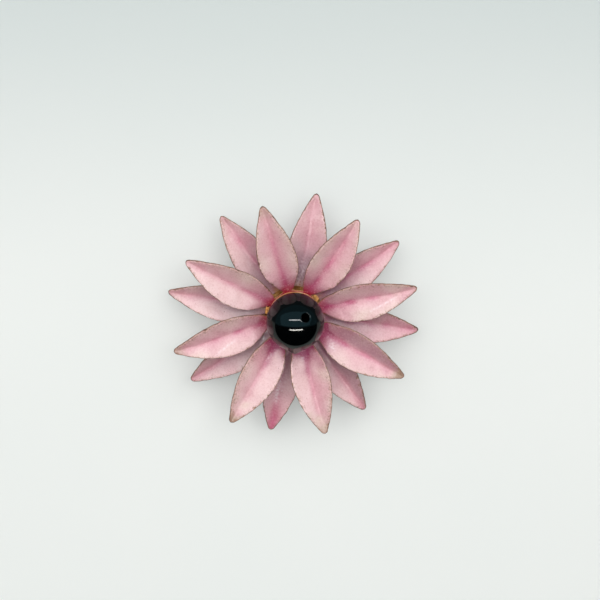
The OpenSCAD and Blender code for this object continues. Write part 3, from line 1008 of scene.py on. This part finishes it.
def make_pieces():
    """Every visible piece, by the CAD node that it replaces."""
    makers = {
        "centre_bead": make_bead, "bead_cup": make_cup, "bead_cement": make_cement,
        "layer_washer": make_spacer,
        "back_plate": lambda: make_disc("mount_plate", "back_plate", 160, 0.25, 6),
        "rivet_washer": lambda: make_disc("burr_washer", "rivet_washer", 128, 0.12),
        "centre_rivet": make_rivet, "pin_bar": make_bar, "hinge_bracket": make_bracket,
        "hinge_rivet": make_hinge_rivet, "pin_stem": make_stem, "catch_body": make_catch,
        "catch_sleeve": make_sleeve, "plate_solder": make_solder}
    bodies = {"pin_stem": "stem", "catch_sleeve": "sleeve"}
    pieces = make_petals()
    for node, make in makers.items():
        pieces[node] = keep_in(make(), node, bodies.get(node, "flower"))
    return pieces


# ---- materials


class Nodes:
    """Short names for building one node tree over a texture coordinate."""

    def __init__(self, tree, coordinate):
        self.tree = tree
        self.where = tree.nodes.new("ShaderNodeTexCoord").outputs[coordinate]

    def link(self, source, target):
        if isinstance(source, (int, float)):
            target.default_value = source
        elif isinstance(source, (tuple, list, np.ndarray)):
            target.default_value = (*source, 1.0)
        else:
            self.tree.links.new(source, target)

    def node(self, kind, inputs, **settings):
        """A new node with a value or a link on each of the named inputs."""
        node = self.tree.nodes.new(f"ShaderNode{kind}")
        for name, value in settings.items():
            setattr(node, name, value)
        for name, source in inputs.items():
            self.link(source, node.inputs[name])
        return node

    def position(self, axis):
        return self.node("SeparateXYZ", {0: self.where}).outputs[axis]

    def steps(self, value, low_at, high_at, low_value=0.0, high_value=1.0):
        inputs = {"Value": value, "From Min": low_at, "From Max": high_at,
                  "To Min": low_value, "To Max": high_value}
        return self.node("MapRange", inputs, interpolation_type="SMOOTHSTEP").outputs["Result"]

    def mix(self, factor, a, b, mode="MIX"):
        node = self.node("Mix", {}, data_type="RGBA", blend_type=mode)
        for number, source in ((0, factor), (6, a), (7, b)):
            self.link(source, node.inputs[number])
        return node.outputs[2]

    def times(self, a, b):
        return self.node("Math", {0: a, 1: b}, operation="MULTIPLY").outputs["Value"]

    def plus(self, a, b):
        return self.node("Math", {0: a, 1: b}, operation="ADD").outputs["Value"]


class Shader(Nodes):
    """One Principled material in object coordinates."""

    def __init__(self, name):
        self.material = bpy.data.materials.new(name)
        self.material.use_nodes = True
        super().__init__(self.material.node_tree, "Object")
        self.principled = self.tree.nodes["Principled BSDF"]

    def noise(self, size_mm, detail=4.0, roughness=0.55, distortion=0.0):
        inputs = {"Vector": self.where, "Scale": 1 / (size_mm * MM), "Detail": detail,
                  "Roughness": roughness, "Distortion": distortion}
        return self.node("TexNoise", inputs).outputs["Fac"]

    def cells(self, size_mm):
        inputs = {"Vector": self.where, "Scale": 1 / (size_mm * MM)}
        return self.node("TexVoronoi", inputs).outputs["Distance"]

    def attribute(self, name, output="Fac"):
        return self.node("Attribute", {}, attribute_name=name).outputs[output]

    def set(self, name, value):
        self.link(value, self.principled.inputs[name])

    def surface(self, colour, roughness, height, depth_mm):
        """The finished material, with relief of the given height field and depth."""
        bump = self.node("Bump", {"Height": height, "Distance": depth_mm * MM})
        self.set("Base Color", colour)
        self.set("Roughness", roughness)
        self.set("Normal", bump.outputs["Normal"])
        return self.material


def enamel_material():
    """Sprayed pink glass: the mesh's tint with fine grain, a few pits and rusty specks at the rim."""
    m = Shader("pink_enamel")
    cloud = m.noise(2.6, 6, 0.6, 0.3)
    grain = m.noise(0.45, 4, 0.7)
    colour = m.mix(m.steps(cloud, 0.58, 0.36, 0, 0.2), m.attribute("tint", "Color"),
                   (0.86, 0.74, 0.72), "MULTIPLY")
    colour = m.mix(m.steps(grain, 0.54, 0.36, 0, 0.5), colour, (0.82, 0.68, 0.66), "MULTIPLY")
    colour = m.mix(m.steps(grain, 0.52, 0.68, 0, 0.24), colour, srgb(240, 210, 206))
    pit_zone = m.steps(m.noise(3.2, 2), 0.54, 0.66)
    pits = m.times(m.steps(m.cells(1.1), 0.14, 0.08), pit_zone)
    colour = m.mix(m.times(pits, 0.7), colour, srgb(160, 84, 86))
    wear = m.attribute("wear")
    rim = m.steps(m.plus(wear, m.steps(m.noise(0.6, 4, 0.7), 0.3, 0.7, -0.3, 0.3)), 0.55, 1.05)
    colour = m.mix(m.times(rim, 0.6), colour, srgb(168, 128, 108))
    speck = m.times(m.steps(m.noise(0.5, 4, 0.75), 0.54, 0.62), m.steps(wear, 0.1, 0.7))
    colour = m.mix(m.times(speck, 0.85), colour, srgb(154, 106, 78))
    m.set("IOR", 1.5)
    relief = m.plus(m.noise(0.9, 2), m.noise(0.35, 3, 0.7))
    return m.surface(colour, m.steps(cloud, 0.3, 0.7, 0.27, 0.38), relief, 0.022)


def rear_enamel_material():
    m = Shader("rear_enamel")
    cloud = m.noise(1.1, 6, 0.65)
    colour = m.mix(m.steps(cloud, 0.4, 0.64, 0, 0.6), m.attribute("tint", "Color"), srgb(120, 96, 108))
    fleck = m.steps(m.cells(0.6), 0.16, 0.08)
    colour = m.mix(m.times(fleck, 0.7), colour, srgb(222, 206, 204))
    rim = m.times(m.attribute("wear"), m.noise(0.5, 4))
    colour = m.mix(m.steps(rim, 0.2, 0.5, 0, 0.8), colour, srgb(96, 62, 50))
    m.set("IOR", 1.5)
    return m.surface(colour, m.steps(cloud, 0.3, 0.7, 0.28, 0.5), m.noise(0.7, 4), 0.05)


def copper_material():
    m = Shader("aged_copper")
    patch = m.noise(1.4, 6, 0.68, 0.6)
    fine = m.noise(0.25, 4, 0.6)
    colour = m.mix(m.steps(patch, 0.38, 0.62), srgb(108, 76, 62), srgb(156, 118, 98))
    colour = m.mix(m.steps(m.noise(0.8, 5, 0.7), 0.58, 0.72, 0, 0.7), colour, srgb(190, 144, 108))
    # Amber bare copper by the hub, flecked with peach that is a painted highlight on the lit slot ends.
    rubbed = m.mix(m.steps(fine, 0.4, 0.6), srgb(196, 120, 44), srgb(238, 182, 132))
    colour = m.mix(m.attribute("wear"), colour, rubbed)
    m.set("Metallic", 0.3)
    relief = m.plus(patch, m.times(fine, 0.4))
    return m.surface(colour, m.steps(fine, 0.3, 0.7, 0.32, 0.58), relief, 0.05)


def glass_material():
    m = Shader("black_glass")
    haze = m.noise(2.2, 5, 0.6, 0.5)
    colour = m.mix(m.steps(haze, 0.45, 0.7, 0, 0.6), (0.0004, 0.0007, 0.0008), (0.0012, 0.0020, 0.0024))
    scratch = m.noise(0.5, 3, 0.8)
    m.set("IOR", 1.46)
    rough = m.steps(m.times(haze, scratch), 0.16, 0.42, 0.025, 0.11)
    return m.surface(colour, rough, m.noise(1.8, 3), 0.014)


def metal_material(name, bright, dull, rough=(0.22, 0.42), dirt=None, metallic=0.95):
    """A worn metal: bright rubbed patches over a duller skin, with fine drawn grain and dirt."""
    m = Shader(name)
    patch = m.noise(2.6, 6, 0.65, 0.4)
    grain = m.noise(0.25, 4, 0.6)
    colour = m.mix(m.steps(patch, 0.4, 0.62), srgb(*dull), srgb(*bright))
    if dirt:
        spots = m.steps(m.noise(0.9, 6, 0.75), 0.6, 0.72, 0, 0.8)
        colour = m.mix(spots, colour, srgb(*dirt))
    m.set("Metallic", metallic)
    uneven = m.plus(patch, m.times(grain, 0.5))
    return m.surface(colour, m.steps(uneven, 0.5, 1.0, *rough), grain, 0.012)


def cement_material():
    m = Shader("set_cement")
    lump = m.noise(0.7, 6, 0.7)
    colour = m.mix(m.steps(lump, 0.35, 0.65), srgb(70, 62, 58), srgb(126, 112, 100))
    return m.surface(colour, m.steps(lump, 0.3, 0.7, 0.6, 0.85), lump, 0.1)


def floor_material():
    """Pale paper, lit a little from below as on a light table, so that shadows stay soft.
    Its far side is painted darker, as painted shade where the light falls off.
    """
    m = Shader("pale_floor")
    paper = m.mix(m.steps(m.noise(60, 2), 0.3, 0.7), srgb(205, 208, 205), srgb(207, 209, 206))
    # Painted shade: the paper darkens towards the far side, as if the light fell off there.
    far_side_shade = m.steps(m.position("Y"), -0.01, 0.12)
    m.set("Base Color", m.mix(far_side_shade, paper, srgb(149, 161, 161)))
    m.set("Emission Color", (0.974, 1.0, 0.965))
    m.set("Emission Strength", 0.257)
    m.set("Roughness", 0.7)
    m.set("Specular IOR Level", 0.25)
    return m.material


# ---- camera, light and floor

TILT = math.radians(19.2)
TURN = math.radians(3.3)
DISTANCE = 0.5
FRAME_WIDTH = 0.1429
BACKDROP_RADIUS = 0.85
WARM = (1.0, 0.955, 0.94)
RIGHT = Vector((math.cos(TURN), math.sin(TURN) * math.sin(TILT), math.sin(TURN) * math.cos(TILT)))
UP = Vector((0, math.cos(TILT), -math.sin(TILT)))
BACK = Vector((-math.sin(TURN), math.cos(TURN) * math.sin(TILT), math.cos(TURN) * math.cos(TILT)))
TARGET = RIGHT * 0.00145 + UP * 0.00295 + Vector((0, 0, 0.0065))


def add_camera():
    data = bpy.data.cameras.new("camera")
    data.sensor_width = 36
    data.lens = 36 * DISTANCE / FRAME_WIDTH
    data.clip_start = 0.02
    data.clip_end = 20
    camera = add_object("camera", data)
    turn = Matrix((RIGHT, UP, BACK)).transposed().to_4x4()
    camera.matrix_world = Matrix.Translation(TARGET + BACK * DISTANCE) @ turn
    bpy.context.scene.camera = camera


def add_panel(name, across, rise, distance, size, radiance, colour=WARM):
    """A soft panel that faces the flower, placed by angles (degrees) from the camera's line."""
    data = bpy.data.lights.new(name, "AREA")
    data.shape = "RECTANGLE"
    data.size, data.size_y = size
    data.energy = radiance * math.pi * size[0] * size[1]
    data.color = colour
    a, b = math.radians(across), math.radians(rise)
    way = BACK * math.cos(a) * math.cos(b) + RIGHT * math.sin(a) * math.cos(b) + UP * math.sin(b)
    panel = add_object(name, data)
    side = RIGHT - way * RIGHT.dot(way)
    side.normalize()
    turn = Matrix((side, way.cross(side), way)).transposed().to_4x4()
    panel.matrix_world = Matrix.Translation(TARGET + way * distance) @ turn
    panel.visible_camera = False
    return panel


def add_lights():
    """Strips and a teal screen that only the gloss shows, and soft panels that only light."""
    strips = [
        add_panel("upper_strip", 3.7, 6.5, 0.3, (0.32, 0.022), 12, (1.0, 1.0, 0.98)),
        add_panel("lower_strip", 3.7, -33, 0.3, (0.265, 0.024), 23, (1.0, 0.97, 0.9)),
        add_panel("teal_screen", 0, 11, 1.0, (3.6, 1.2), 0.36, (0.36, 0.82, 1.0))]
    for strip in strips:
        strip.visible_diffuse = False
    panels = [
        add_panel("soft_key", 0, 18, 1.2, (1.6, 1.0), 3.28),
        add_panel("left_fill", -62, -10, 1.0, (1.2, 1.0), 0.54),
        add_panel("right_fill", 62, -10, 1.0, (1.2, 1.0), 0.54),
        add_panel("soft_fill", 0, -30, 0.9, (1.4, 1.4), 0.32)]
    for panel in panels:
        panel.visible_glossy = False


def add_world():
    """Teal over the flower's far side, dark over its near side, and a pale near half below."""
    world = bpy.data.worlds.new("studio")
    bpy.context.scene.world = world
    world.use_nodes = True
    sky = Nodes(world.node_tree, "Generated")
    far_side = sky.steps(sky.position("Y"), -0.12, -0.03)
    below = sky.steps(sky.position("Z"), 0.02, -0.06)
    above = sky.mix(far_side, (0.004, 0.005, 0.005), (0.08, 0.17, 0.20))
    table = sky.mix(far_side, (0.42, 0.46, 0.43), (0.07, 0.09, 0.10))
    room = sky.mix(below, above, table)
    sky.link(room, sky.tree.nodes["Background"].inputs["Color"])


def add_floor():
    """A plain pale table. The glass shows the room's own pale and dark parts in its place."""
    obj = lathe("floor", [(r / MM, 0) for r in (0, 0.4, 1.5, 4)], 96, closed=False)
    obj.location.z = cad_box[0][2] - 0.0001
    obj.data.materials.append(floor_material())
    obj.visible_glossy = False


def add_backdrop():
    """A plain pale dome behind everything in low views. Only the camera sees it."""
    radius = BACKDROP_RADIUS / MM
    dome = [(radius * math.cos(a), radius * math.sin(a)) for a in np.linspace(-0.1, math.pi / 2, 24)]
    obj = lathe("backdrop", dome[:-1] + [(0, radius)], 96, closed=False)
    m = Shader("pale_backdrop")
    m.set("Base Color", m.mix(m.steps(m.noise(300, 2), 0.3, 0.7), srgb(30, 30, 30), srgb(32, 32, 32)))
    m.set("Emission Color", (0.66, 0.71, 0.70))
    m.set("Emission Strength", 1.0)
    obj.data.materials.append(m.material)
    for kind in ("diffuse", "glossy", "transmission", "shadow"):
        setattr(obj, f"visible_{kind}", False)


# ---- the scene


def dress(pieces):
    """Gives every piece its material and its material slot."""
    gilt = metal_material("worn_gilt", (240, 206, 138), (202, 164, 100), dirt=(128, 96, 60))
    polished = metal_material("polished_gilt", (246, 214, 146), (214, 174, 106), (0.14, 0.3))
    brass = metal_material("amber_brass", (208, 156, 98), (152, 106, 62), (0.3, 0.5), (110, 66, 38))
    orange = metal_material("orange_brass", (246, 196, 154), (226, 150, 100), (0.4, 0.6), metallic=0.6)
    steel = metal_material("drawn_steel", (206, 204, 198), (160, 156, 148), (0.16, 0.3))
    tin = metal_material("dull_solder", (186, 186, 182), (132, 132, 128), (0.35, 0.55))
    outfits = [
        ("pink_enamel", enamel_material(), "upper_enamel", "lower_enamel"),
        ("back_enamel", rear_enamel_material(), "upper_back_enamel", "lower_back_enamel"),
        ("copper", copper_material(), "upper_sheet", "lower_sheet"),
        ("glass_bead", glass_material(), "centre_bead"),
        ("brass_cup", orange, "bead_cup"),
        ("cement", cement_material(), "bead_cement"),
        ("rivet_brass", brass, "centre_rivet", "rivet_washer", "layer_washer"),
        ("gilt_plate", gilt, "back_plate", "pin_bar", "hinge_bracket", "catch_body"),
        ("gilt_catch", polished, "catch_sleeve", "hinge_rivet"),
        ("stem_steel", steel, "pin_stem"),
        ("solder", tin, "plate_solder")]
    for slot_name, material, *nodes in outfits:
        for obj in (pieces[node] for node in nodes):
            obj.data.materials.clear()
            obj.data.materials.append(material)


def main():
    scene = bpy.context.scene
    scene.view_settings.view_transform = "Standard"
    scene.view_settings.look = "None"
    dress(make_pieces())
    add_floor()
    add_backdrop()
    add_camera()
    add_lights()
    add_world()


main()
